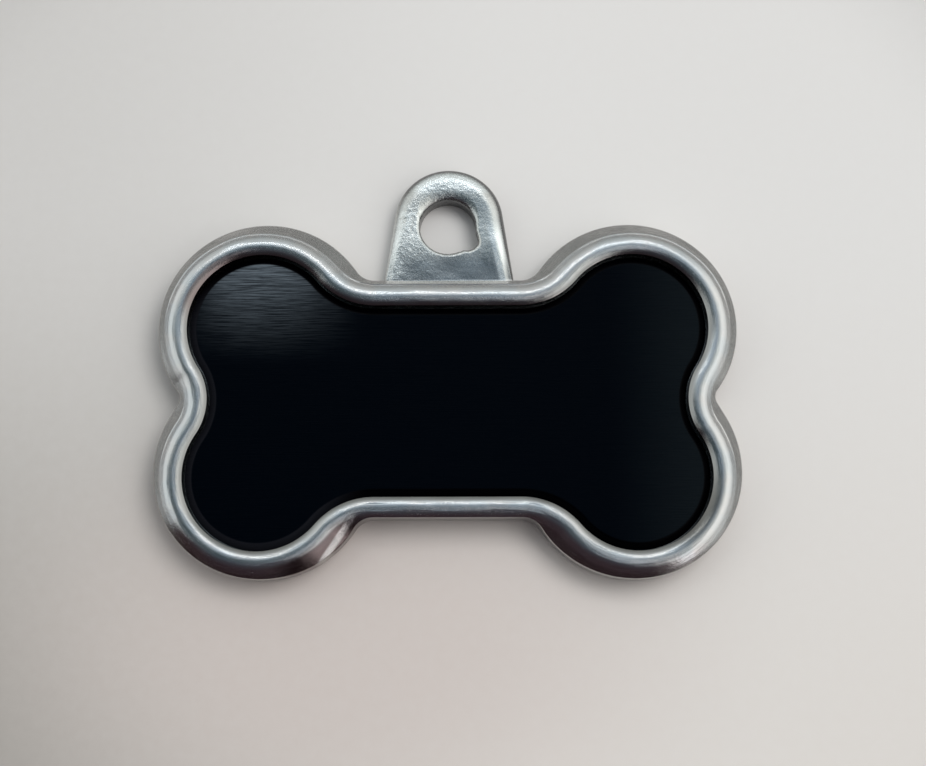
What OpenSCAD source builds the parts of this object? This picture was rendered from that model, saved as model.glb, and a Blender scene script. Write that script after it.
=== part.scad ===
// Bone-shaped pet tag: a die-cast metal frame with a raised bead and a hanging tab,
// and a black face plate with a turned-down edge, bonded into the frame's recess.
// The tag lies on its back: X runs along the bone, +Y points to the tab, +Z is the front.
// The origin is the middle of the bone, on the back face.

/* [Opening of the frame] */
// Distance from the middle to the centre of each lobe, along the bone
lobe_x = 12.25; // [11.6:0.05:14]
// Distance from the middle to the centre of each lobe, across the bone
lobe_y = 4.9; // [4.4:0.05:5.4]
// Radius of the opening's lobes
lobe_r = 5.02; // [4.6:0.02:5.4]
// Half the height of the opening at the bar, between the lobes
bar_h = 6.34; // [5.6:0.02:7.2]
// Radius of the opening's fillet where a lobe runs into the bar
neck_r = 4.94; // [4:0.02:6]
// Radius of the opening's fillet between the two lobes of one end
waist_r = 4.1; // [3:0.05:5.2]

/* [Lower half of the casting] */
// Height of the lower half's shoulder above the back
body_t = 2.45; // [2.3:0.05:2.5]
// Width of the slope round the shoulder
shoulder_w = 0.5; // [0.3:0.05:0.6]
// Angle at which the shoulder slopes down
shoulder_slope = 38; // [30:1:42]
// How much larger the lobe radius of the lower half is than the opening's
lobe_wall = 2.06; // [1.9:0.02:2.4]
// How far the lobe centres of the lower half lie nearer the middle, along the bone
lobe_in_x = 0.28; // [0:0.02:0.5]
// How far the lobe centres of the lower half lie nearer the middle, across the bone
lobe_in_y = 0.2; // [0:0.02:0.3]
// Width of the lower half's wall along the bar
bar_wall = 1.55; // [1.5:0.01:2]
// Radius of the lower half's fillet where a lobe runs into the bar
body_neck_r = 1.45; // [0.8:0.05:3]
// Radius of the lower half's fillet between the two lobes of one end
body_waist_r = 0.7; // [0.3:0.05:1.5]
// Rounding below the slope of the shoulder
shoulder_round = 0.3; // [0.1:0.05:0.4]
// Rounding of the edge round the back
back_round = 0.4; // [0.1:0.05:0.6]
// Shift of the lower half towards the tab at the parting line
die_shift = 0.1; // [0:0.01:0.12]
// Thickness of the floor under the plate
floor_t = 1.3; // [0.8:0.05:1.5]

/* [Bead] */
// Radius of the bead's round crest
bead_r = 1; // [0.9:0.02:1.2]
// Distance of the crest from the opening's edge
crest_in = 0.63; // [0.56:0.01:0.68]
// Height of the crest above the face plate
crest_rise = 0.6; // [0.5:0.05:0.9]
// Distance of the flank's foot from the opening's edge
flank_foot = 1.43; // [1.36:0.01:1.5]

/* [Hanging tab] */
// Thickness of the tab
tab_t = 1.6; // [1.2:0.05:1.8]
// Radius of the tab's round end
tab_r = 3.7; // [3.2:0.05:4.5]
// Distance from the middle of the bone to the centre of the tab's round end
tab_y = 12.34; // [11.9:0.05:14]
// Angle by which each side of the tab leans out towards its base
tab_flare = 7.3; // [0:0.1:12]
// Rounding of the tab's front edge
tab_round = 0.6; // [0.2:0.05:0.7]
// Diameter of the hole for a split ring
hole_d = 3.8; // [3:0.1:4.6]
// Distance from the middle of the bone to the centre of the hole
hole_y = 11.88; // [11.6:0.02:13]
// Rounding of the hole's two edges
hole_round = 0.25; // [0.1:0.05:0.4]

/* [Face plate] */
// Thickness of the face plate
plate_t = 0.8; // [0.5:0.05:1]
// Clearance between the plate and the frame, all round
plate_gap = 0.08; // [0.05:0.01:0.15]
// Width of the plate's turned-down edge
turn_w = 0.42; // [0.2:0.02:0.6]
// How far the plate's edge is turned down
turn_h = 0.3; // [0.1:0.02:0.4]

/* [Adhesive film] */
// Thickness of the adhesive film
film_t = 0.1; // [0.05:0.01:0.2]
// Distance of the film's edge from the edge of the plate
film_in = 0.6; // [0.3:0.05:1.2]

/* [Hidden] */
$fn = 96;
overrun = 0.5;
slope_step = 0.01;
place_step = 0.01;
web_lap = 0.01;
plate_z = floor_t + film_t;
face_z = plate_z + plate_t;
crest_z = face_z + crest_rise;
bead_z = crest_z - bead_r;
shoulder_z = body_t - shoulder_w * tan(shoulder_slope) - shoulder_round * cos(shoulder_slope);
rim_lap = 0.3;
rim_depth = 0.9;
band_w = 3;
flank_leave = 54;
flank_bite_share = 0.97;
hole_mouth_share = 0.9;
opening = bone(lobe_x, lobe_y, lobe_r, neck_r, bar_h, waist_r);
body = bone(lobe_x - lobe_in_x, lobe_y - lobe_in_y, lobe_r + lobe_wall, body_neck_r,
            bar_h + bar_wall, body_waist_r);

// A bone outline, by one quarter of it: the lobe's centre and radius, the neck's and the
// waist's radius, and the slopes of the lines from the lobe's centre to their centres. The
// slopes are whole steps, and the bar's height and the waist's radius follow them.
function bone(x, y, r, neck, bar, waist) = let (
    up = stepped(asin((bar + neck - y) / (r + neck))),
    down = stepped(asin(y / (r + waist)))
) [[x, y], r, neck, y / sin(down) - r, up, down];
function stepped(a) = round(a / slope_step) * slope_step;
function lobe(b) = b[0];
function lobe_radius(b) = b[1];
function neck_radius(b) = b[2];
function waist_radius(b) = b[3];
function neck_slope(b) = b[4];
function waist_slope(b) = b[5];
function neck(b) = lobe(b)
    + (lobe_radius(b) + neck_radius(b)) * [-cos(neck_slope(b)), sin(neck_slope(b))];
function waist(b) = [lobe(b)[0] + lobe(b)[1] / tan(waist_slope(b)), 0];
function bar(b) = neck(b)[1] - neck_radius(b);

// The same outline drawn in all round by a distance
function drawn_in(b, d) = [lobe(b), lobe_radius(b) - d, neck_radius(b) + d,
                           waist_radius(b) + d, neck_slope(b), waist_slope(b)];

// Moves in two steps, a round one and the rest, which keeps the last digits of the place
module placed(at) {
    round_part = [for (x = at) round(x / place_step) * place_step];
    translate(round_part) translate(at - round_part) children();
}

module four_ways() {
    for (x = [0, 1], y = [0, 1]) mirror([x, 0, 0]) mirror([0, y, 0]) children();
}

// Sweeps a section about a point, from one angle to another. The section's X is the
// distance outward from an arc of the given radius, and its Y is the height. A hollow arc
// has the outside of the outline on the side of its centre.
module arc_sweep(centre, r, from, to, hollow = false) {
    placed(centre) rotate_extrude(angle = to - from, start = from)
        placed([r, 0]) mirror([hollow ? 1 : 0, 0]) children();
}

// Sweeps a section round a bone outline
module sweep_round(b) {
    four_ways() {
        arc_sweep(waist(b), waist_radius(b), 180 - waist_slope(b), 180, hollow = true)
            children();
        arc_sweep(lobe(b), lobe_radius(b), -waist_slope(b), 180 - neck_slope(b)) children();
        arc_sweep(neck(b), neck_radius(b), -90, -neck_slope(b), hollow = true) children();
        placed([neck(b)[0], bar(b)]) rotate([90, 0, 90]) translate([0, 0, -neck(b)[0] - overrun])
            linear_extrude(neck(b)[0] + overrun) children();
    }
}

// A flat piece with a bone outline: the section of its edge, which reaches inward by the
// band's width, and a filling behind it
module bone_piece(b, t) {
    sweep_round(b) children();
    linear_extrude(t) {
        square(2 * [waist(b)[0] - waist_radius(b) - band_w / 2, lobe(b)[1]], center = true);
        four_ways() translate(lobe(b)) circle(lobe_radius(b) - band_w / 2);
    }
}

// The lowest part of a slab's section, as high as the rounding of its lower edge. It
// reaches out from X = 0.
module low_edge(reach, r) {
    square([reach - r, r]);
    translate([reach - r, r]) intersection() {
        circle(r);
        translate([0, -r]) square(r);
    }
}

// The section of a slab with both edges rounded
module rounded_slab(reach, t, low_r, high_r) {
    low_edge(reach, low_r);
    translate([0, low_r]) square([reach, t - low_r - high_r]);
    translate([0, t]) mirror([0, 1]) low_edge(reach, high_r);
}

// The section of the lower half: a rounded back edge, a wall, and a rounding that runs
// into the sloped shoulder
module shoulder_slab(reach) {
    middle = [reach - shoulder_round, shoulder_z];
    across = shoulder_round * [sin(shoulder_slope), cos(shoulder_slope)];
    low_end = middle + across;
    low_edge(reach, back_round);
    translate(middle) intersection() {
        circle(shoulder_round);
        polygon([[0, 0], [2 * shoulder_round, 0], 2 * [shoulder_round, across[1]], 2 * across]);
    }
    polygon([
        [0, back_round],
        [reach, back_round],
        [reach, shoulder_z],
        middle,
        low_end,
        [low_end[0] - shoulder_w, body_t],
        [0, body_t]
    ]);
}

// The section of the rim on the shoulder: a round bead, and a flank that slopes down and
// out to its foot
module rim_section() {
    leave = flank_bite_share * bead_r * [cos(flank_leave), sin(flank_leave)];
    intersection() {
        translate([crest_in, bead_z]) circle(bead_r);
        translate([-rim_lap, 0]) square([rim_lap + flank_foot, crest_z]);
    }
    polygon([
        [-rim_lap, body_t - rim_depth],
        [flank_foot, body_t - rim_depth],
        [flank_foot, body_t],
        [crest_in, bead_z] + leave,
        [crest_in, bead_z],
        [-rim_lap, bead_z]
    ]);
}

// The lower half of the casting, without its tab: four rounded lobes on a rounded bar,
// with a fillet between each two
module lower_half() {
    four_ways() translate(lobe(body)) rotate_extrude() shoulder_slab(lobe_radius(body));
    for (side = [0, 1]) mirror([0, side, 0]) translate([-lobe(body)[0], 0, 0])
        rotate([90, 0, 90]) linear_extrude(2 * lobe(body)[0]) shoulder_slab(bar(body));
    translate([0, 0, back_round + web_lap])
        linear_extrude(shoulder_z - back_round - 2 * web_lap) fillet_webs();
}

module fillet_webs() {
    four_ways() difference() {
        polygon([lobe(body), neck(body), [neck(body)[0], lobe(body)[1]]]);
        translate(neck(body)) circle(neck_radius(body) + web_lap);
    }
    for (side = [0, 1]) mirror([side, 0]) difference() {
        polygon([lobe(body), waist(body), [lobe(body)[0], -lobe(body)[1]]]);
        translate(waist(body)) circle(waist_radius(body) + web_lap);
    }
}

// The hanging tab: a round end, and flared sides that run down to the frame
module tab() {
    run = (tab_y + tab_r * sin(tab_flare) - bar_h) / cos(tab_flare);
    shoulder = [0, tab_y] + (tab_r / 2) * [cos(tab_flare), sin(tab_flare)];
    root = shoulder + run * [sin(tab_flare), -cos(tab_flare)];
    translate([0, tab_y, 0]) rotate_extrude()
        rounded_slab(tab_r, tab_t, back_round, tab_round);
    for (side = [0, 1]) mirror([side, 0, 0])
        translate([0, tab_y, 0]) rotate([90, 0, tab_flare]) linear_extrude(run)
            rounded_slab(tab_r - web_lap, tab_t, back_round, tab_round);
    linear_extrude(tab_t)
        polygon([shoulder, root, [-root[0], root[1]], [-shoulder[0], shoulder[1]]]);
}

// The hole through the tab, with both mouths rounded
module hanging_hole() {
    r = hole_d / 2;
    mouth = hole_mouth_share * hole_round;
    translate([0, hole_y, 0]) rotate_extrude() difference() {
        translate([0, -overrun]) square([r + hole_round, tab_t + 2 * overrun]);
        translate([r, mouth]) square([hole_round + overrun, tab_t - 2 * mouth]);
        translate([r + hole_round, mouth]) circle(hole_round);
        translate([r + hole_round, tab_t - mouth]) circle(hole_round);
    }
}

module recess() {
    depth = crest_z - floor_t + overrun;
    translate([0, 0, floor_t]) bone_piece(opening, depth)
        translate([-band_w, 0]) square([band_w, depth]);
}

module cast_frame() {
    color([0.66, 0.68, 0.68]) difference() {
        union() {
            translate([0, die_shift, 0]) lower_half();
            sweep_round(opening) rim_section();
            tab();
        }
        recess();
        hanging_hole();
    }
}

module face_plate() {
    color([0.04, 0.045, 0.05]) translate([0, 0, plate_z])
        bone_piece(drawn_in(opening, plate_gap), plate_t) polygon([
            [-band_w, 0],
            [0, 0],
            [0, plate_t - turn_h],
            [-turn_w, plate_t],
            [-band_w, plate_t]
        ]);
}

module adhesive_film() {
    color([0.85, 0.85, 0.8]) translate([0, 0, floor_t])
        bone_piece(drawn_in(opening, plate_gap + film_in), film_t)
            translate([-band_w, 0]) square([band_w, film_t]);
}

cast_frame();
face_plate();
adhesive_film();
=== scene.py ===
import math

import bpy
import numpy as np
from mathutils import Matrix, Vector


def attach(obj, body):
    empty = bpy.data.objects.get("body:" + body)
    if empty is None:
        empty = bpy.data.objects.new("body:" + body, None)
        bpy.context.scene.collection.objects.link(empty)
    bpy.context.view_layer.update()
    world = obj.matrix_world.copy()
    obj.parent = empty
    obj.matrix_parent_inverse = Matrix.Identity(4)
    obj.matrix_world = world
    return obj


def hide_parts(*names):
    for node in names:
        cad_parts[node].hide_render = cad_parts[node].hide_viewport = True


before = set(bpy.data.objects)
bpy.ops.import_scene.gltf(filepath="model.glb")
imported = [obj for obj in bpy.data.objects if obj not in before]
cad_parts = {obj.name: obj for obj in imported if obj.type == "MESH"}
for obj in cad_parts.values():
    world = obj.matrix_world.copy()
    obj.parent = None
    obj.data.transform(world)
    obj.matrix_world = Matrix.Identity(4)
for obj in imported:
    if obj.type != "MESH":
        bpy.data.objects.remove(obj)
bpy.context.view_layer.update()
mm = 0.001
print("packed frame loaded")


# camera at the photo's viewing angle, in millimetres

camera = dict(
    place=(1.06, -16.00, 91.98),
    look=(-0.0006, 0.1864, -0.9825),
    up=(0.0025, 0.9825, 0.1864),
    lens=54.43,
    sensor=36,
    nearest=5,
)


def makeCamera():
    data = bpy.data.cameras.new("camera")
    data.lens = camera["lens"]
    data.sensor_width = camera["sensor"]
    data.clip_start = camera["nearest"] * mm
    look = Vector(camera["look"]).normalized()
    side = look.cross(Vector(camera["up"])).normalized()
    turn = Matrix((side, side.cross(look), -look)).transposed().to_4x4()
    eye = bpy.data.objects.new("camera", data)
    eye.matrix_world = Matrix.Translation(Vector(camera["place"]) * mm) @ turn
    bpy.context.collection.objects.link(eye)
    bpy.context.scene.camera = eye


makeCamera()
bpy.context.scene.view_settings.view_transform = "Standard"


# shader maths

class Wire:
    def __init__(self, graph, socket):
        self.graph = graph
        self.socket = socket

    def maths(self, operation, *values):
        return self.graph.node("ShaderNodeMath", dict(operation=operation), values)

    def __add__(self, other):
        return self.maths("ADD", self, other)

    def __radd__(self, other):
        return self.maths("ADD", other, self)

    def __sub__(self, other):
        return self.maths("SUBTRACT", self, other)

    def __rsub__(self, other):
        return self.maths("SUBTRACT", other, self)

    def __mul__(self, other):
        return self.maths("MULTIPLY", self, other)

    def __rmul__(self, other):
        return self.maths("MULTIPLY", other, self)


class Graph:
    def __init__(self, tree):
        self.tree = tree
        tree.nodes.clear()

    # one node: its settings first, then its sockets' values or links
    def node(self, kind, settings=None, sockets=(), output=0):
        made = self.tree.nodes.new(kind)
        for key, value in (settings or {}).items():
            if key == "stops":
                ramp = made.color_ramp
                while len(ramp.elements) < len(value):
                    ramp.elements.new(0.5)
                for element, (place, colour) in zip(ramp.elements, value):
                    element.position = place
                    element.color = (*colour, 1)
            else:
                setattr(made, key, value)
        pairs = sockets.items() if isinstance(sockets, dict) else enumerate(sockets)
        for key, value in pairs:
            if isinstance(value, Wire):
                self.tree.links.new(value.socket, made.inputs[key])
            else:
                made.inputs[key].default_value = value
        return Wire(self, made.outputs[output]) if made.outputs else None

    # where a value lies between two limits, as 0 to 1
    def span(self, value, low, high, soft=True):
        kind = "SMOOTHSTEP" if soft else "LINEAR"
        return self.node("ShaderNodeMapRange", dict(interpolation_type=kind),
                         {"Value": value, "From Min": low, "From Max": high})

    def blend(self, share, first, second, kind="MIX"):
        settings = dict(data_type="RGBA", blend_type=kind)
        return self.node("ShaderNodeMix", settings, {0: share, 6: first, 7: second}, 2)

    # the dictionaries give each noise as its scale, detail and roughness
    def noise(self, place, scale, detail, rough):
        sockets = {"Vector": place, "Scale": scale, "Detail": detail, "Roughness": rough}
        return self.node("ShaderNodeTexNoise", None, sockets)

    # the point in millimetres, stretched along each axis
    def place(self, stretch=(1, 1, 1), shift=(0, 0, 0), uvMap=None):
        if uvMap:
            start = self.node("ShaderNodeUVMap", dict(uv_map=uvMap))
        else:
            start = self.node("ShaderNodeTexCoord", None, (), "Object")
        unit = 1 if uvMap else 1 / mm
        sockets = {"Vector": start, "Location": shift, "Scale": [unit * share for share in stretch]}
        return self.node("ShaderNodeMapping", None, sockets)

    def axes(self, point):
        made = self.node("ShaderNodeSeparateXYZ", None, [point])
        return [Wire(self, output) for output in made.socket.node.outputs]

    def length(self, point):
        return self.node("ShaderNodeVectorMath", dict(operation="LENGTH"), [point], "Value")

    # share of the surface inside every span: a value's name and the limits it rises between
    def within(self, values, spans):
        shares = [self.span(values[name], low, high) for name, low, high in spans]
        share = shares[0]
        for other in shares[1:]:
            share = share * other
        return share

    # tints laid over a colour, one after the other, each inside its spans
    def tinted(self, colour, values, tints):
        for tint in tints.values():
            share = tint["share"] * self.within(values, tint["spans"])
            colour = self.blend(share, colour, (*tint["colour"], 1))
        return colour


def makeMaterial(name):
    material = bpy.data.materials.new(name)
    material.use_nodes = True
    return material, Graph(material.node_tree)


def closeMaterial(graph, sockets):
    shader = graph.node("ShaderNodeBsdfPrincipled", None, sockets)
    graph.node("ShaderNodeOutputMaterial", None, [shader])


# floor, room and lamps

# paper floor: its darkening towards the bottom and the left, and its tints, are painted shade and painted
# shadow; what its tints read is the place in millimetres, and the distance from the middle
paper = dict(
    size=6000, drop=0.01, rough=0.9, shine=0.2, fibre=(1.2, 6, 0.6), fibreShare=0.06,
    # painted shade: the paper is darker towards the bottom, and darker still to the left
    upper=(0.865, 0.835, 0.812), lower=(0.845, 0.79, 0.747), lowerY=(16, -26),
    left=(0.42, 0.39, 0.36), leftX=(8, -36), leftLeast=0.3,
    shadowBelowStretch=(0.6, 1, 0), shadowBelowShift=(3.6, 15, 0),
    tints=dict(
        # painted shadow: a warm darker patch of paper under and below the tag
        below=dict(colour=(0.72, 0.63, 0.59), share=0.8, spans=[("below", 18, 3)]),
        # painted shade: the paper darkens far from the middle
        far=dict(colour=(0.22, 0.215, 0.21), share=1, spans=[("away", 36, 72)]),
        # painted shadow: the paper turns dark brown towards the front
        frontShadow=dict(colour=(0.10, 0.07, 0.065), share=1, spans=[("y", -27, -48)]),
    ),
)

# each wall of the room is lit from overhead, 0, down to the horizon, 90 degrees
room = dict(
    level=1.5, lampAway=500, overhead=(0.10, 0.135, 0.17),
    north=[(7, (0.115, 0.15, 0.185)), (14, (0.21, 0.255, 0.30)), (20, (0.31, 0.36, 0.40)),
           (26, (0.50, 0.56, 0.61)), (31, (0.80, 0.86, 0.88)), (38, (0.62, 0.66, 0.68)),
           (46, (0.48, 0.505, 0.515)), (58, (0.375, 0.395, 0.395)), (72, (0.34, 0.355, 0.35)),
           (84, (0.26, 0.27, 0.265)), (90, (0.12, 0.12, 0.115))],
    east=[(9, (0.13, 0.16, 0.18)), (15, (0.21, 0.235, 0.24)), (26, (0.47, 0.49, 0.48)),
          (32, (0.68, 0.70, 0.68)), (39, (0.80, 0.81, 0.79)), (52, (0.74, 0.755, 0.74)),
          (65, (0.64, 0.65, 0.64)), (76, (0.53, 0.54, 0.53)), (83, (0.30, 0.305, 0.30)),
          (89, (0.12, 0.12, 0.115))],
    west=[(12, (0.16, 0.20, 0.21)), (20, (0.17, 0.21, 0.22)), (29, (0.23, 0.26, 0.27)),
          (38, (0.42, 0.45, 0.455)), (50, (0.55, 0.58, 0.58)), (66, (0.59, 0.62, 0.62)),
          (78, (0.50, 0.52, 0.525)), (85, (0.24, 0.25, 0.255)), (89, (0.10, 0.10, 0.10))],
    south=[(8, (0.085, 0.11, 0.135)), (14, (0.07, 0.085, 0.105)), (25, (0.047, 0.050, 0.062)),
           (37, (0.031, 0.030, 0.037)), (51, (0.030, 0.024, 0.029)), (64, (0.028, 0.019, 0.023)),
           (74, (0.021, 0.012, 0.014)), (90, (0.020, 0.011, 0.012))],
    seam=0.02, upright=0.0001, sideShares=(0.12, 0.75),
    lowY=(0.06, -0.26), lowSideShares=(0.30, 0.0), lowLeftX=(0.0, -0.1), lowLeftSideShares=(0.42, 0.24),
    tints=dict(
        overTag=dict(colour=(0.042, 0.058, 0.066), share=1,
                     spans=[("x", -0.02, -0.12), ("x", -0.62, -0.50),
                            ("y", 0.22, 0.12), ("y", -0.40, -0.15)]),
        strip=dict(colour=(0.64, 0.66, 0.69), share=1,
                   spans=[("x", 0.05, 0.10), ("x", 0.19, 0.14), ("y", -0.46, -0.38), ("y", 0.14, 0.04)]),
    ),
    openings=dict(
        blind=dict(toward=(0.48, -0.50, 0.72), colour=(0.72, 0.72, 0.72), edge=(0.970, 0.988)),
        window=dict(toward=(0.61, -0.70, 0.385), colour=(0.95, 0.90, 0.90), edge=(0.986, 0.9944)),
    ),
)
lamps = [
    dict(name="ceiling_fill", toward=(0.43, 0.28, 0.86), wide=270, tall=270, glow=3.6, glossy=False),
    dict(name="desk_lamp", toward=(-0.02, 0.545, 0.83), wide=330, tall=12, glow=5, glossy=True),
]


def makeFloor():
    bpy.ops.mesh.primitive_plane_add(size=paper["size"] * mm, location=(0, 0, -paper["drop"] * mm))
    floor = bpy.context.object
    floor.name = "paper_floor"
    material, graph = makeMaterial("paper")
    x, y = graph.axes(graph.place())[:2]
    # painted shade: the paper darkens towards the bottom, and most towards the bottom left
    leftPaintedShare = graph.span(x, *paper["leftX"])
    lowShadeShare = graph.span(y, *paper["lowerY"])
    shade = graph.blend(lowShadeShare, (*paper["upper"], 1), (*paper["lower"], 1))
    least = paper["leftLeast"]
    shade = graph.blend(leftPaintedShare * (least + (1 - least) * lowShadeShare), shade, (*paper["left"], 1))
    # painted shadow below the tag, and painted shade far out and towards the front
    below = graph.length(graph.place(paper["shadowBelowStretch"], paper["shadowBelowShift"]))
    away = graph.length(graph.place((1, 1, 0)))
    shade = graph.tinted(shade, dict(y=y, below=below, away=away), paper["tints"])
    fibre = graph.noise(graph.place(), *paper["fibre"])
    colour = graph.blend(paper["fibreShare"], shade, fibre, "OVERLAY")
    closeMaterial(graph, {"Base Color": colour, "Roughness": paper["rough"],
                          "Specular IOR Level": paper["shine"]})
    floor.data.materials.append(material)


def makeRoom():
    world = bpy.data.worlds.new("room")
    bpy.context.scene.world = world
    world.use_nodes = True
    graph = Graph(world.node_tree)
    sky = graph.node("ShaderNodeTexCoord", None, (), "Generated")
    x, y, z = graph.axes(sky)
    fromTop = graph.node("ShaderNodeMath", dict(operation="ARCCOSINE"), [z]) * (2 / math.pi)
    walls = {}
    for side in ("north", "east", "south", "west"):
        stops = [(0, room["overhead"])] + [(angle / 90, colour) for angle, colour in room[side]]
        walls[side] = graph.node("ShaderNodeValToRGB", dict(stops=stops), [fromTop])
    seam = room["seam"]
    northSouth = graph.blend(graph.span(y, -seam, seam, False), walls["south"], walls["north"])
    eastWest = graph.blend(graph.span(x, -seam, seam, False), walls["west"], walls["east"])

    # the side walls reach less far round towards the south, and least on the left
    flat = x * x + y * y + room["upright"]
    sideways = graph.node("ShaderNodeMath", dict(operation="DIVIDE"), [x * x, flat])
    low = graph.span(y, *room["lowY"])
    lowLeft = low * graph.span(x, *room["lowLeftX"])
    shares = zip(room["sideShares"], room["lowSideShares"], room["lowLeftSideShares"])
    nearest, farthest = [plain + more * low + most * lowLeft for plain, more, most in shares]
    colour = graph.blend(graph.span(sideways, nearest, farthest), northSouth, eastWest)
    colour = graph.tinted(colour, dict(x=x, y=y), room["tints"])
    for pane in room["openings"].values():
        facing = graph.node("ShaderNodeVectorMath", dict(operation="DOT_PRODUCT"),
                            [sky, pane["toward"]], "Value")
        colour = graph.blend(graph.span(facing, *pane["edge"]), colour, (*pane["colour"], 1))
    light = graph.node("ShaderNodeBackground", None, [colour, room["level"]])
    graph.node("ShaderNodeOutputWorld", None, [light])


def makeLamps():
    for lamp in lamps:
        data = bpy.data.lights.new(lamp["name"], "AREA")
        data.shape = "RECTANGLE"
        data.size = lamp["wide"] * mm
        data.size_y = lamp["tall"] * mm
        data.energy = lamp["glow"] * math.pi * data.size * data.size_y
        made = bpy.data.objects.new(lamp["name"], data)
        toward = Vector(lamp["toward"]).normalized()
        made.location = toward * room["lampAway"] * mm
        made.rotation_euler = toward.to_track_quat("Z", "Y").to_euler()
        made.visible_glossy = lamp["glossy"]
        bpy.context.collection.objects.link(made)


bpy.ops.object.select_all(action="DESELECT")
makeFloor()
makeRoom()
makeLamps()
print("floor, room and lamps")


# bone outlines: four lobes, a bar and hollow joints between them

opening = dict(lobeX=12.22, lobeY=4.9, lobeR=4.87, barHalf=6.31, neckR=4.94, waistR=4.1, shiftY=-0.14)
body = dict(lobeX=11.965, lobeY=4.695, lobeR=7.08, barHalf=7.86, neckR=1.45, waistR=0.7, shiftY=0.1)


def boneCentres(bone):
    lobe = np.array([bone["lobeX"], bone["lobeY"]])
    neckY = bone["barHalf"] + bone["neckR"]
    neckX = lobe[0] - math.sqrt((bone["lobeR"] + bone["neckR"]) ** 2 - (neckY - lobe[1]) ** 2)
    waistX = lobe[0] + math.sqrt((bone["lobeR"] + bone["waistR"]) ** 2 - lobe[1] ** 2)
    return lobe, np.array([neckX, neckY]), np.array([waistX, 0.0])


# points and outward normals of one quarter, from the waist round the lobe to the bar's middle
def boneQuarter(bone, count=4000):
    lobe, neck, waist = boneCentres(bone)
    toLobe = math.atan2(*(lobe - waist)[::-1])
    toNeck = math.atan2(*(neck - lobe)[::-1])
    arcs = [
        (waist, bone["waistR"], math.pi, toLobe, -1),
        (lobe, bone["lobeR"], toLobe - math.pi, toNeck, 1),
        (neck, bone["neckR"], toNeck - math.pi, -math.pi / 2, -1),
    ]
    points, normals = [], []
    for centre, radius, start, end, side in arcs:
        angle = np.linspace(start, end, count)
        ray = np.stack([np.cos(angle), np.sin(angle)], 1)
        points.append(centre + radius * ray)
        normals.append(side * ray)
    barX = np.linspace(neck[0], 0, count)
    points.append(np.stack([barX, np.full(count, bone["barHalf"])], 1))
    normals.append(np.tile([0.0, 1.0], (count, 1)))
    return np.concatenate(points), np.concatenate(normals)


# the whole outline by turn, 0 to 1, evenly spaced from the right waist anticlockwise
def boneStations(bone, turn):
    points, normals = boneQuarter(bone)
    step = np.linalg.norm(np.diff(points, axis=0), axis=1)
    run = np.concatenate([[0], np.cumsum(step)])
    quarter = np.floor(turn * 4).astype(int) % 4
    share = turn * 4 - np.floor(turn * 4)
    share = np.where(quarter % 2 == 1, 1 - share, share)
    signs = np.array([(1, 1), (-1, 1), (-1, -1), (1, -1)])[quarter]
    place = [np.interp(share * run[-1], run, values) for values in (*points.T, *normals.T)]
    normal = np.stack(place[2:], 1)
    normal /= np.linalg.norm(normal, axis=1, keepdims=True)
    return np.stack(place[:2], 1) * signs + [0, bone["shiftY"]], normal * signs, run[-1] * 4


# how far a point lies outside a bone
def boneGap(bone, point):
    lobe, neck, waist = boneCentres(bone)
    point = np.abs(point - [0, bone["shiftY"]])

    gap = np.linalg.norm(point - lobe, axis=1) - bone["lobeR"]
    gap = np.where(point[:, 0] < neck[0], point[:, 1] - bone["barHalf"], gap)
    for centre, straight, radius in ((neck, (0, -1), bone["neckR"]), (waist, (-1, 0), bone["waistR"])):
        ray, first = point - centre, lobe - centre
        away = np.linalg.norm(ray, axis=1)
        side = np.sign(first[0] * straight[1] - first[1] * straight[0])
        pastLobe = (first[0] * ray[:, 1] - first[1] * ray[:, 0]) * side >= 0
        beforeStraight = (ray[:, 0] * straight[1] - ray[:, 1] * straight[0]) * side >= 0
        near = away < bone["lobeR"] + radius
        gap = np.where(pastLobe & beforeStraight & near, radius - away, gap)
    return gap


# distance along each ray to where a gap function turns positive
def reachOf(gapOf, start, ray, low, high, halvings=40):
    low = np.full(len(start), float(low))
    high = np.full(len(start), float(high))
    for _ in range(halvings):
        middle = (low + high) / 2
        out = gapOf(start + ray * middle[:, None]) > 0
        high = np.where(out, middle, high)
        low = np.where(out, low, middle)
    return (low + high) / 2


def smooth(value):
    value = np.clip(value, 0, 1)
    return value * value * (3 - 2 * value)


# gentle unevenness: waves with seeded phases that close on themselves round the turn
def waves(turn, across, seed, fewest, most, count):
    source = np.random.default_rng(seed)
    total = np.zeros(np.broadcast(turn, across).shape)
    for _ in range(count):
        rounds = source.integers(fewest, most)
        phase, lean = source.uniform(0, 2 * math.pi), source.uniform(-2, 2)
        total += np.sin(2 * math.pi * rounds * turn + phase + lean * across)
    return total / math.sqrt(count)


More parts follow.
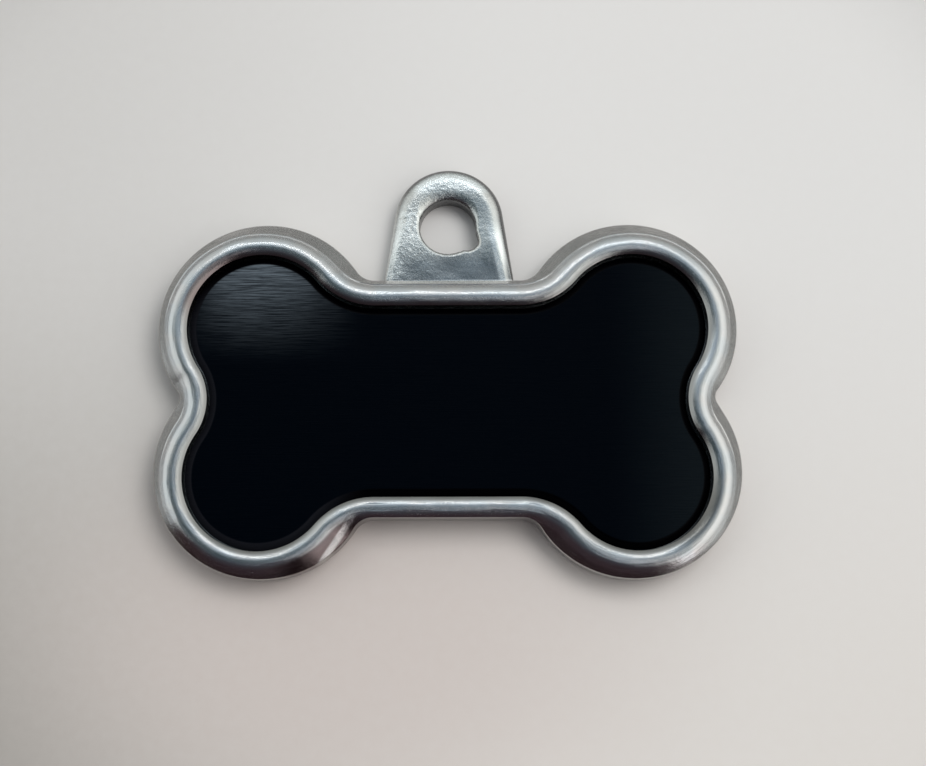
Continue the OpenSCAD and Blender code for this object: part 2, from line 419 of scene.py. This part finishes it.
# a grid sheet bent to a shape: corner places come from turn and level numbers
def wrapSheet(name, turns, levels, shape):
    bpy.ops.object.select_all(action="DESELECT")
    bpy.ops.mesh.primitive_grid_add(x_subdivisions=turns, y_subdivisions=levels - 1, size=1,
                                    location=(0, 0, 0))
    piece = bpy.context.object
    piece.name = name
    mesh = piece.data
    flat = np.zeros(len(mesh.vertices) * 3)
    mesh.vertices.foreach_get("co", flat)
    flat = flat.reshape(-1, 3)
    column = np.rint((flat[:, 0] + 0.5) * turns).astype(int)
    row = np.rint((flat[:, 1] + 0.5) * (levels - 1)).astype(int)
    places, ruler = shape()
    mesh.vertices.foreach_set("co", (places[column % turns, row] * mm).ravel())
    corners = np.zeros(len(mesh.loops), dtype=np.int32)
    mesh.loops.foreach_get("vertex_index", corners)
    along = column[corners] / turns * ruler["round"]
    across = ruler["across"][column[corners] % turns, row[corners]]
    mesh.uv_layers.active.name = "surface"
    mesh.uv_layers.active.data.foreach_set("uv", np.stack([along, across], 1).ravel())
    mesh.update()
    return piece


def inEdit(piece, *steps):
    bpy.ops.object.select_all(action="DESELECT")
    bpy.context.view_layer.objects.active = piece
    piece.select_set(True)
    bpy.ops.object.mode_set(mode="EDIT")
    bpy.ops.mesh.select_mode(type="VERT")
    bpy.ops.mesh.select_all(action="SELECT")
    for step in steps:
        step()
    bpy.ops.object.mode_set(mode="OBJECT")


# corners nearer to each other than this, in millimetres, become one
weldGap = 0.0005


def closeSheet():
    bpy.ops.mesh.remove_doubles(threshold=weldGap * mm)
    bpy.ops.mesh.select_all(action="SELECT")
    bpy.ops.mesh.fill_holes(sides=0)
    bpy.ops.mesh.select_all(action="SELECT")
    bpy.ops.mesh.normals_make_consistent(inside=False)


# the two flat caps get a narrow border, so that the smooth rim beside them shades evenly
def insetFlats(mostSides=200, border=0.15):
    bpy.ops.mesh.select_all(action="DESELECT")
    bpy.ops.mesh.select_mode(type="FACE")
    bpy.ops.mesh.select_face_by_sides(number=mostSides, type="GREATER")
    bpy.ops.mesh.inset(thickness=border * mm, depth=0)
    bpy.ops.mesh.select_mode(type="VERT")


# cast frame: rim bead, flank, ledge and body wall, as one ring

rim = dict(
    turns=640, floorTop=1.3, beadR=1.0, crestIn=0.63, crestZ=2.797, flankSlope=36, flankFoot=1.43,
    footGap=0.01, shoulderSlope=38, shoulderR=0.14, backR=0.4, backInset=1.2, wallReach=(1.0, 4.0),
    wallLevels=4, beadLevels=34, flankLevels=6, shoulderLevels=22, sideLevels=4,
    backLevels=7, footPasses=1, smoothAngle=40,
    grooveDeep=0.03, grooveFrom=-0.1, grooveRun=0.6, grooveEnd=0.2,
    polishFrom=1.9, polishRun=0.35, polishIn=0.25, polishOut=0.3, crestLevel=2.77,
    # each set of waves has a seed, its fewest and most rounds, and a count
    wave=0.012, lift=0.0072, fineWave=0.005,
    outWaves=(11, 5, 40, 8), liftWaves=(12, 7, 60, 8), fineWaves=(13, 60, 160, 10),
    # tints read the place in millimetres, and the distance across from the inner wall's foot
    finish=dict(
        pale=(0.64, 0.66, 0.67), warm=(0.68, 0.67, 0.66), tone=(0.55, 2, 0.5), tones=(0.35, 0.65),
        polish=(1.0, 3, 0.6), polishStretch=(0.9, 16, 1), speck=(10.0, 3, 0.7),
        leastRough=0.13, polishRough=0.08, speckRough=0.09,
        polishes=(0.35, 0.75), specks=(0.40, 0.75), polishShare=0.35, bump=0.6, bumpDeep=0.02,
        glintLean=(0.82, -0.57, 0.58),
        tints=dict(
            # painted dark reflection along the bead's inner edge and the inner wall
            innerEdgeShade=dict(colour=(0.335, 0.335, 0.325), share=1, spans=[("across", 1.80, 1.38)]),
            # painted dark reflection on the inner side of the lower right lobe
            lowerRight=dict(colour=(0.17, 0.165, 0.155), share=0.9,
                            spans=[("x", 13.5, 16.2), ("y", -4, -7), ("across", 2.08, 1.75)]),
            # painted dark reflection, reddish, on the inner side of the upper left lobe
            upperLeftShade=dict(colour=(0.24, 0.185, 0.18), share=0.8,
                           spans=[("x", -11.5, -14.5), ("y", 4.5, 7), ("across", 1.90, 1.72)]),
            # painted shade: the metal is darker from the shoulder outward
            shoulder=dict(colour=(0.49, 0.485, 0.475), share=1, spans=[("across", 2.80, 3.05)]),
            # painted highlight: a bright line on the ring along the tab's base
            tabLineHighlight=dict(colour=(0.97, 0.98, 0.97), share=1,
                         spans=[("y", 7.62, 7.74), ("xSquared", 17.5, 15.0)]),
            # painted dark reflection: a dark streak on the flank at the lower left neck
            neck=dict(colour=(0.13, 0.095, 0.095), share=0.9,
                      spans=[("x", -4.6, -6.0), ("x", -11.5, -9.5), ("y", -7.2, -8.2),
                             ("across", 2.2, 2.6), ("glintSquared", 0.0, 0.07)]),
            # painted shadow: the foot of the outer wall darkens towards the back, as a contact shadow
            foot=dict(colour=(0.14, 0.12, 0.115), share=1, spans=[("z", 0.62, 0.30)]),
        ),
    ),
)


def rimShape():
    turn = np.arange(rim["turns"]) / rim["turns"]
    point, normal, total = boneStations(opening, turn)
    reach = reachOf(lambda spot: boneGap(body, spot), point, normal, *rim["wallReach"])[:, None]

    beadZ = rim["crestZ"] - rim["beadR"]
    first = math.acos(-rim["crestIn"] / rim["beadR"])
    last = math.radians(90 - rim["flankSlope"])
    edgeZ = beadZ + rim["beadR"] * math.sin(first)
    wallZ = np.linspace(rim["floorTop"], edgeZ, rim["wallLevels"], endpoint=False)
    columns = [(0 * reach + 0 * wallZ, 0 * reach + wallZ)]
    angle = np.linspace(first, last, rim["beadLevels"])
    columns.append((rim["crestIn"] + rim["beadR"] * np.cos(angle) + 0 * reach,
                    beadZ + rim["beadR"] * np.sin(angle) + 0 * reach))

    # the flank runs to its foot at the parting line, and the shoulder slopes on to the outer wall
    foot = np.minimum(rim["flankFoot"], reach - rim["footGap"])
    leaveOut, leaveZ = columns[-1][0][:, -1:], columns[-1][1][:, -1:]
    share = np.linspace(0, 1, rim["flankLevels"] + 1)[1:]
    flankOut = leaveOut + (foot - leaveOut) * share
    flankZ = leaveZ - (flankOut - leaveOut) * math.tan(math.radians(rim["flankSlope"]))
    slope = math.radians(rim["shoulderSlope"])
    radius = np.minimum(rim["shoulderR"], (reach - foot) / 2)
    lowEnd = reach - radius * (1 - math.sin(slope))
    share = np.linspace(0, 1, rim["shoulderLevels"] + 1)[1:]
    shoulderOut = foot + (reach - foot) * np.sin(share * math.pi / 2)
    lowZ = flankZ[:, -1:] - (lowEnd - foot) * math.tan(slope)
    arc = np.sqrt(np.clip(radius ** 2 - (shoulderOut - reach + radius) ** 2, 0, None))
    shoulderZ = np.where(shoulderOut < lowEnd, flankZ[:, -1:] - (shoulderOut - foot) * math.tan(slope),
                         lowZ - radius * math.cos(slope) + arc)
    out = np.concatenate([leaveOut, flankOut, shoulderOut], 1)
    high = np.concatenate([leaveZ, flankZ, shoulderZ], 1)
    for _ in range(rim["footPasses"]):
        for part in (out, high):
            part[:, 1:-1] = (part[:, :-2] + 2 * part[:, 1:-1] + part[:, 2:]) / 4
    northward = smooth((normal[:, 1] - rim["grooveFrom"]) / rim["grooveRun"])
    shoulderShare = smooth((reach - foot)[:, 0] / rim["grooveEnd"])
    high[:, rim["flankLevels"]] -= rim["grooveDeep"] * northward * shoulderShare
    columns.append((out[:, 1:], high[:, 1:]))

    backR = rim["backR"]
    share = np.linspace(0, 1, rim["sideLevels"] + 1)[1:]
    sideZ = high[:, -1:] + (backR - high[:, -1:]) * share
    columns.append((reach + 0 * sideZ, sideZ))
    tilt = np.linspace(0, math.pi / 2, rim["backLevels"] + 1)[1:]
    columns.append((reach - backR + backR * np.cos(tilt), backR - backR * np.sin(tilt) + 0 * reach))
    columns.append((reach - rim["backInset"], 0 * reach))

    out = np.concatenate([part[0] for part in columns], 1)
    high = np.concatenate([part[1] for part in columns], 1)

    # hand polishing leaves the bead and flank a little uneven
    touched = smooth((high - rim["polishFrom"]) / rim["polishRun"])
    touched = touched * smooth(out / rim["polishIn"]) * smooth((reach - out) / rim["polishOut"])
    below = high < rim["crestLevel"]
    level = np.linspace(0, 1, out.shape[1])[None, :]
    turn = turn[:, None]
    out = out + touched * rim["wave"] * waves(turn, level, *rim["outWaves"])
    high = high + touched * rim["lift"] * waves(turn, level, *rim["liftWaves"]) * below
    out = out + touched * rim["fineWave"] * waves(turn, level, *rim["fineWaves"])

    places = np.stack([point[:, None, 0] + normal[:, None, 0] * out,
                       point[:, None, 1] + normal[:, None, 1] * out, high], 2)
    across = np.concatenate([np.zeros((len(out), 1)),
                             np.cumsum(np.hypot(np.diff(out), np.diff(high)), 1)], 1)
    return places, dict(round=total, across=across)


def makeRing():
    parts = ("wallLevels", "beadLevels", "flankLevels", "shoulderLevels", "sideLevels", "backLevels")
    levels = sum(rim[part] for part in parts) + 1
    ring = wrapSheet("cast_frame_ring", rim["turns"], levels, rimShape)
    inEdit(ring, closeSheet)
    return ring


def makeCastMetal():
    finish = rim["finish"]
    material, graph = makeMaterial("polished_cast_metal")
    polish = graph.noise(graph.place(finish["polishStretch"], uvMap="surface"), *finish["polish"])
    speck = graph.noise(graph.place(), *finish["speck"])
    tone = graph.noise(graph.place(), *finish["tone"])
    rough = (finish["leastRough"] + finish["polishRough"] * graph.span(polish, *finish["polishes"])
             + finish["speckRough"] * graph.span(speck, *finish["specks"]))
    colour = graph.blend(graph.span(tone, *finish["tones"]), (*finish["pale"], 1), (*finish["warm"], 1))

    # painted dark reflections and painted shade darken the inner edge, parts of the inner side, the
    # shoulder, the lower left neck and the foot, and a painted highlight lies along the tab's base line
    x, y, z = graph.axes(graph.place())
    across = graph.axes(graph.node("ShaderNodeUVMap", dict(uv_map="surface")))[1]
    leanX, leanY, start = finish["glintLean"]
    glint = leanX * x + leanY * y + start
    values = dict(x=x, y=y, z=z, across=across, xSquared=x * x, glintSquared=glint * glint)
    colour = graph.tinted(colour, values, finish["tints"])
    height = polish * finish["polishShare"] + speck * (1 - finish["polishShare"])
    bump = graph.node("ShaderNodeBump", None, {"Strength": finish["bump"], "Height": height,
                                               "Distance": finish["bumpDeep"] * mm})
    closeMaterial(graph, {"Base Color": colour, "Metallic": 1.0, "Roughness": rough, "Normal": bump})
    return material


# tab: a flared round end round the hole, grainy face, joined to the ring

tab = dict(
    turns=300, holeX=0.0, holeY=11.88, holeR=1.88, endY=12.32, endR=3.65, flare=9.0, shiftX=0.08,
    baseY=7.0, top=1.6, back=0.02, edgeR=0.95, edgeDrop=0.7, backR=0.4, edgeReach=(0.5, 9.0),
    mouthR=0.24, mouthNorth=0.45, mouthDrop=0.35, lipR=0.15, boreDrop=0.6, rowCurve=0.9,
    baseFall=0.15, fallFrom=11.0, fallTo=8.4, footY=7.37, footR=0.9, footShare=0.6,
    notchDepth=0.5, notchAngle=-34, notchSpread=13, ragged=0.025, raggedAngle=30, raggedReach=1.6,
    raggedWaves=(22, 9, 34, 6), dome=0.05, faceFrom=1.3, faceRun=0.3,
    wave=0.012, waveWidth=20, waveLean=0.8, waveFrom=8.2, waveRun=0.6, faceWaves=(21, 2, 9, 7),
    boreLevels=6, mouthLevels=7, faceLevels=36, edgeLevels=12, sideLevels=4,
    backLevels=5, underLevels=3, lipLevels=3,
    # spans are in millimetres, and the lean that some of them read is x less half of y
    finish=dict(
        pale=(0.62, 0.645, 0.635), warm=(0.67, 0.67, 0.645), tone=(0.5, 2, 0.5), tones=(0.35, 0.65),
        peel=(3.2, 4, 0.62), grain=(11, 2, 0.6), leastRough=0.17, grainRough=0.13, grains=(0.35, 0.7),
        peelShare=0.75, bump=0.65, bumpDeep=0.1,
        lean=0.5, rawSpan=(-3.5, -8.0), leastRaw=0.35, baseSpan=(8.26, 8.12), smoothBase=0.8,
        # painted shade: the face darkens towards the base
        lowFace=dict(colour=(0.36, 0.39, 0.405), span=(10.2, 9.2)),
        # painted highlight: bright glints laid over the left of the face
        left=dict(colour=(0.90, 0.92, 0.90), spans=[("lean", -6.8, -8.3), ("y", 13.6, 12.6)],
                  least=0.3, peels=(0.42, 0.60)),
        # painted highlight along the rails and round the crown
        railLean=0.23, rightRail=(5.25, 5.5), leftRail=(5.5, 5.75), railSpan=(12.5, 11.0),
        crown=[("y", 14.05, 14.55), ("x", -3.0, -1.6)], bright=(0.95, 0.98, 0.97),
        # painted shade on the edge as it falls away, less on the left
        edge=dict(colour=(0.18, 0.18, 0.18), span=(1.52, 1.30), leftX=(-2.5, -3.6), leftLess=0.6),
        # painted highlight: a bright line along the tab's base
        baseColour=(0.97, 0.97, 0.96),
    ),
)


def tabGap(point):
    x, y = np.abs(point[:, 0] - tab["shiftX"]), point[:, 1] - tab["endY"]
    lean = math.radians(tab["flare"])
    away = np.hypot(x, y) - tab["endR"]
    side = x * math.cos(lean) + y * math.sin(lean) - tab["endR"]
    straight = y < x * math.tan(lean)
    return np.maximum(np.where(straight, side, away), tab["baseY"] - point[:, 1])


def tabShape():
    turn = np.arange(tab["turns"]) / tab["turns"]
    angle = turn * 2 * math.pi
    ray = np.stack([np.cos(angle), np.sin(angle)], 1)
    centre = np.tile([tab["holeX"], tab["holeY"]], (tab["turns"], 1))
    edge = reachOf(tabGap, centre, ray, *tab["edgeReach"])[:, None]

    fromNotch = (np.degrees(angle) - tab["notchAngle"] + 180) % 360 - 180
    bore = tab["holeR"] + tab["notchDepth"] * np.exp(-0.5 * (fromNotch / tab["notchSpread"]) ** 2)
    nearNotch = smooth(tab["raggedReach"] - np.abs(fromNotch) / tab["raggedAngle"])
    bore = bore + tab["ragged"] * nearNotch * waves(turn, 0 * turn, *tab["raggedWaves"])
    bore = bore[:, None]
    mouth = tab["mouthR"] + tab["mouthNorth"] * smooth(np.sin(angle))[:, None]

    lipR = tab["lipR"]
    boreZ = np.linspace(tab["back"] + lipR, tab["top"] - tab["boreDrop"], tab["boreLevels"])
    columns = [(bore + 0 * boreZ, boreZ + 0 * bore)]
    tilt = np.linspace(0, math.pi / 2, tab["mouthLevels"])
    drop = np.minimum(mouth, tab["mouthDrop"])
    columns.append((bore + mouth * (1 - np.cos(tilt)), tab["top"] - drop * (1 - np.sin(tilt))))
    share = np.linspace(0, 1, tab["faceLevels"] + 1)[1:]
    share = share ** tab["rowCurve"]
    faceStart, faceEnd = bore + mouth, edge - tab["edgeR"]
    columns.append((faceStart + (faceEnd - faceStart) * share, tab["top"] + 0 * (faceStart * share)))
    tilt = np.linspace(0, math.pi / 2, tab["edgeLevels"] + 1)[1:]
    columns.append((faceEnd + tab["edgeR"] * np.sin(tilt),
                    tab["top"] - tab["edgeDrop"] * (1 - np.cos(tilt)) + 0 * edge))
    sideZ = np.linspace(tab["top"] - tab["edgeDrop"], tab["back"] + tab["backR"], tab["sideLevels"] + 1)[1:]
    columns.append((edge + 0 * sideZ, sideZ + 0 * edge))
    tilt = np.linspace(0, math.pi / 2, tab["backLevels"] + 1)[1:]
    columns.append((edge - tab["backR"] * (1 - np.cos(tilt)),
                    tab["back"] + tab["backR"] * (1 - np.sin(tilt)) + 0 * edge))
    share = np.linspace(0, 1, tab["underLevels"] + 1)[1:]
    under = edge - tab["backR"]
    columns.append((under + (bore + lipR - under) * share, tab["back"] + 0 * (under * share)))
    tilt = np.linspace(0, math.pi / 2, tab["lipLevels"] + 1)[1:]
    columns.append((bore + lipR * (1 - np.sin(tilt)), tab["back"] + lipR * (1 - np.cos(tilt)) + 0 * bore))

    out = np.concatenate([part[0] for part in columns], 1)
    high = np.concatenate([part[1] for part in columns], 1)
    x = centre[:, :1] + ray[:, :1] * out
    y = centre[:, 1:] + ray[:, 1:] * out

    # the face domes a little, falls towards the base and rises again into the frame
    faceLike = smooth((high - tab["faceFrom"]) / tab["faceRun"])
    away = np.clip((out - bore) / (edge - bore), 0, 1)
    high = high + faceLike * tab["dome"] * (np.sin(math.pi * away) ** 2 - 1)
    fall = smooth((tab["fallFrom"] - y) / (tab["fallFrom"] - tab["fallTo"]))
    high = high - faceLike * tab["baseFall"] * fall
    footIn = np.clip(tab["footY"] + tab["footR"] - y, 0, tab["footShare"] * tab["footR"])
    high = high + faceLike * (tab["footR"] - np.sqrt(tab["footR"] ** 2 - footIn ** 2))
    uneven = waves(x / tab["waveWidth"], y * tab["waveLean"], *tab["faceWaves"])
    high = high + faceLike * tab["wave"] * uneven * smooth((y - tab["waveFrom"]) / tab["waveRun"])
    places = np.stack([x, y, high], 2)
    return places, dict(round=2 * math.pi * tab["endR"], across=out)


def closeTab():
    bpy.ops.mesh.remove_doubles(threshold=weldGap * mm)
    bpy.ops.mesh.select_all(action="SELECT")
    bpy.ops.mesh.normals_make_consistent(inside=False)


def makeTab():
    parts = ("boreLevels", "mouthLevels", "faceLevels", "edgeLevels", "sideLevels", "backLevels",
             "underLevels", "lipLevels")
    end = wrapSheet("cast_frame_tab", tab["turns"], sum(tab[part] for part in parts), tabShape)
    inEdit(end, closeTab)
    return end


def makeTabMetal():
    finish = tab["finish"]
    material, graph = makeMaterial("grainy_cast_metal")
    peel = graph.noise(graph.place(), *finish["peel"])
    grain = graph.noise(graph.place(), *finish["grain"])
    tone = graph.noise(graph.place(), *finish["tone"])
    x, y, z = graph.axes(graph.place())
    lean = x - finish["lean"] * y
    values = dict(x=x, y=y, lean=lean)

    # the casting is rawest on the left, and smooth along the base
    base = graph.span(y, *finish["baseSpan"])
    least = finish["leastRaw"]
    raw = (least + (1 - least) * graph.span(lean, *finish["rawSpan"])) * (1 - finish["smoothBase"] * base)
    rough = finish["leastRough"] + finish["grainRough"] * graph.span(grain, *finish["grains"])

    colour = graph.blend(graph.span(tone, *finish["tones"]), (*finish["pale"], 1), (*finish["warm"], 1))
    lowFace, left, edge = finish["lowFace"], finish["left"], finish["edge"]
    # painted shade: the face darkens towards the base
    colour = graph.blend(graph.span(y, *lowFace["span"]), colour, (*lowFace["colour"], 1))
    # painted highlight: glints on the left of the face, broken up by the peel noise
    leftPaintedShare = graph.within(values, left["spans"]) * (left["least"] + graph.span(peel, *left["peels"]))
    colour = graph.blend(leftPaintedShare, colour, (*left["colour"], 1))

    # painted highlight along the rails beside the edges and round the crown
    railY = finish["railLean"] * y
    railHighlight = graph.span(x + railY, *finish["rightRail"]) + graph.span(railY - x, *finish["leftRail"])
    bright = railHighlight * graph.span(y, *finish["railSpan"]) + graph.within(values, finish["crown"])
    colour = graph.blend(bright, colour, (*finish["bright"], 1))
    # painted shade on the edge as it falls away, less on the left
    edgeShare = graph.span(z, *edge["span"]) * (1 - edge["leftLess"] * graph.span(x, *edge["leftX"]))
    colour = graph.blend(edgeShare, colour, (*edge["colour"], 1))
    # painted highlight along the tab's base
    colour = graph.blend(base, colour, (*finish["baseColour"], 1))

    height = (peel * finish["peelShare"] + grain * (1 - finish["peelShare"])) * raw
    bump = graph.node("ShaderNodeBump", None, {"Strength": finish["bump"], "Height": height,
                                               "Distance": finish["bumpDeep"] * mm})
    closeMaterial(graph, {"Base Color": colour, "Metallic": 1.0, "Roughness": rough, "Normal": bump})
    return material


def makeCastFrame():
    ring = makeRing()
    end = makeTab()
    ring.data.materials.append(makeCastMetal())
    ring.data.materials.append(makeTabMetal())
    end.data.materials.append(ring.data.materials[0])
    end.data.materials.append(ring.data.materials[1])
    for face in end.data.polygons:
        face.material_index = 1
    bpy.ops.object.select_all(action="DESELECT")
    bpy.context.view_layer.objects.active = ring
    ring.select_set(True)
    join = ring.modifiers.new("join", "BOOLEAN")
    join.operation = "UNION"
    join.solver = "MANIFOLD"
    join.object = end
    bpy.ops.object.modifier_apply(modifier=join.name)
    bpy.data.objects.remove(end)
    inEdit(ring, insetFlats)
    bpy.ops.object.shade_smooth_by_angle(angle=math.radians(rim["smoothAngle"]))
    ring.name = "cast_frame_metal"
    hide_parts("cast_frame")
    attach(ring, "root")
    return ring


castFrame = makeCastFrame()
print("cast frame", len(castFrame.data.polygons), "faces")


# black plate with a turned-down edge

plate = dict(
    turns=640, gap=0.08, low=1.4, top=2.2, turnW=0.5, turnH=0.3, bottomInset=0.5,
    turnCurve=1.6, sideLevels=3, turnLevels=12, flatLevels=5, flatRun=0.5, smoothAngle=30,
    # spans are in millimetres, and turned reads the distance inward from the outline
    finish=dict(
        black=(0.0, 0.0009, 0.0026), brush=(1.0, 4, 0.7), brushStretch=(0.35, 14, 1),
        streak=(1.0, 4, 0.65), streakStretch=(0.5, 21, 1),
        leastRough=0.22, streakRough=0.14, streaks=(0.3, 0.7), shine=0.03, bump=0.6, bumpDeep=0.02,
        # painted sheen: a paler right end and a lighter upper left lobe, streaked along the brushing
        endSheen=(0.0055, 0.0082, 0.0105), endSheenX=(10.0, 17.5), endSheenLeast=0.5,
        sheen=(0.125, 0.15, 0.175), sheenY=(2.0, 9.4), sheenX=[("x", -17.8, -13.6), ("x", -5.2, -12.5)],
        lineLeast=0.2, lineMore=1.5, lines=(0.36, 0.66),
        # painted shade: the turned-down edge is blacker than the face, and a painted reflection lightens it
        # towards the left
        turned=(0.0, 0.0, 0.0004), turnedIn=(0.62, 0.50),
        turnedLeftReflection=(0.0095, 0.010, 0.0135), turnedLean=0.7, turnedSpan=(-9, -14),
    ),
)


def plateShape():
    turn = np.arange(plate["turns"]) / plate["turns"]
    point, normal, total = boneStations(opening, turn)
    zero = np.zeros((plate["turns"], 1))
    side = plate["top"] - plate["turnH"]
    steps = [(plate["gap"] + plate["bottomInset"], plate["low"])]
    steps += [(plate["gap"], z) for z in np.linspace(plate["low"], side, plate["sideLevels"])]
    for share in np.linspace(0, 1, plate["turnLevels"] + 1)[1:]:
        drop = plate["turnH"] * (1 - share) ** plate["turnCurve"]
        steps.append((plate["gap"] + plate["turnW"] * share, plate["top"] - drop))
    for share in np.linspace(0, 1, plate["flatLevels"] + 1)[1:]:
        steps.append((plate["gap"] + plate["turnW"] + plate["flatRun"] * share, plate["top"]))
    inward = np.array([step[0] for step in steps]) + zero
    high = np.array([step[1] for step in steps]) + zero
    places = np.stack([point[:, None, 0] - normal[:, None, 0] * inward,
                       point[:, None, 1] - normal[:, None, 1] * inward, high], 2)
    return places, dict(round=total, across=inward)


def makeBlackFinish():
    finish = plate["finish"]
    material, graph = makeMaterial("black_brushed_plate")
    x, y = graph.axes(graph.place())[:2]
    inward = graph.axes(graph.node("ShaderNodeUVMap", dict(uv_map="surface")))[1]
    brush = graph.noise(graph.place(finish["brushStretch"]), *finish["brush"])
    streak = graph.noise(graph.place(finish["streakStretch"]), *finish["streak"])
    rough = finish["leastRough"] + finish["streakRough"] * graph.span(streak, *finish["streaks"])

    # painted sheen: the brushed face is coloured lighter over the upper left lobe, and a little along the
    # right end, where it catches light
    rise = graph.span(y, *finish["sheenY"], False)
    sheen = rise * rise * graph.within(dict(x=x), finish["sheenX"])
    lines = finish["lineLeast"] + finish["lineMore"] * graph.span(streak, *finish["lines"])
    endSheen = graph.span(x, *finish["endSheenX"]) * (finish["endSheenLeast"] + streak)
    colour = graph.blend(endSheen, (*finish["black"], 1), (*finish["endSheen"], 1))
    colour = graph.blend(sheen * lines, colour, (*finish["sheen"], 1))
    # painted shade: the turned-down edge is blacker than the face, and a painted reflection lightens it
    # towards the left
    turned = graph.span(inward, *finish["turnedIn"])
    leftward = graph.span(x + finish["turnedLean"] * y, *finish["turnedSpan"])
    colour = graph.blend(turned, colour, (*finish["turned"], 1))
    colour = graph.blend(turned * leftward, colour, (*finish["turnedLeftReflection"], 1))
    bump = graph.node("ShaderNodeBump", None, {"Strength": finish["bump"], "Height": brush,
                                               "Distance": finish["bumpDeep"] * mm})
    closeMaterial(graph, {"Base Color": colour, "Metallic": 0.0, "Roughness": rough,
                          "Specular IOR Level": finish["shine"], "Normal": bump})
    return material


def makePlate():
    levels = 1 + plate["sideLevels"] + plate["turnLevels"] + plate["flatLevels"]
    piece = wrapSheet("black_plate", plate["turns"], levels, plateShape)
    inEdit(piece, closeSheet, insetFlats)
    bpy.ops.object.shade_smooth_by_angle(angle=math.radians(plate["smoothAngle"]))
    piece.data.materials.append(makeBlackFinish())
    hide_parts("face_plate")
    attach(piece, "root")
    return piece


blackPlate = makePlate()
print("black plate", len(blackPlate.data.polygons), "faces")


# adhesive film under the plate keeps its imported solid

adhesive = dict(
    dull=(0.62, 0.60, 0.52), clear=(0.72, 0.70, 0.62), cloud=(1.5, 3, 0.5), clouds=(0.3, 0.7),
    leastRough=0.35, cloudRough=0.1,
)


def finishFilm():
    material, graph = makeMaterial("clear_adhesive")
    cloud = graph.noise(graph.place(), *adhesive["cloud"])
    clear = graph.span(cloud, *adhesive["clouds"])
    colour = graph.blend(clear, (*adhesive["dull"], 1), (*adhesive["clear"], 1))
    rough = adhesive["leastRough"] + adhesive["cloudRough"] * cloud
    closeMaterial(graph, {"Base Color": colour, "Roughness": rough})
    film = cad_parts["adhesive_film"]
    for item in film.material_slots:
        item.material = material


finishFilm()
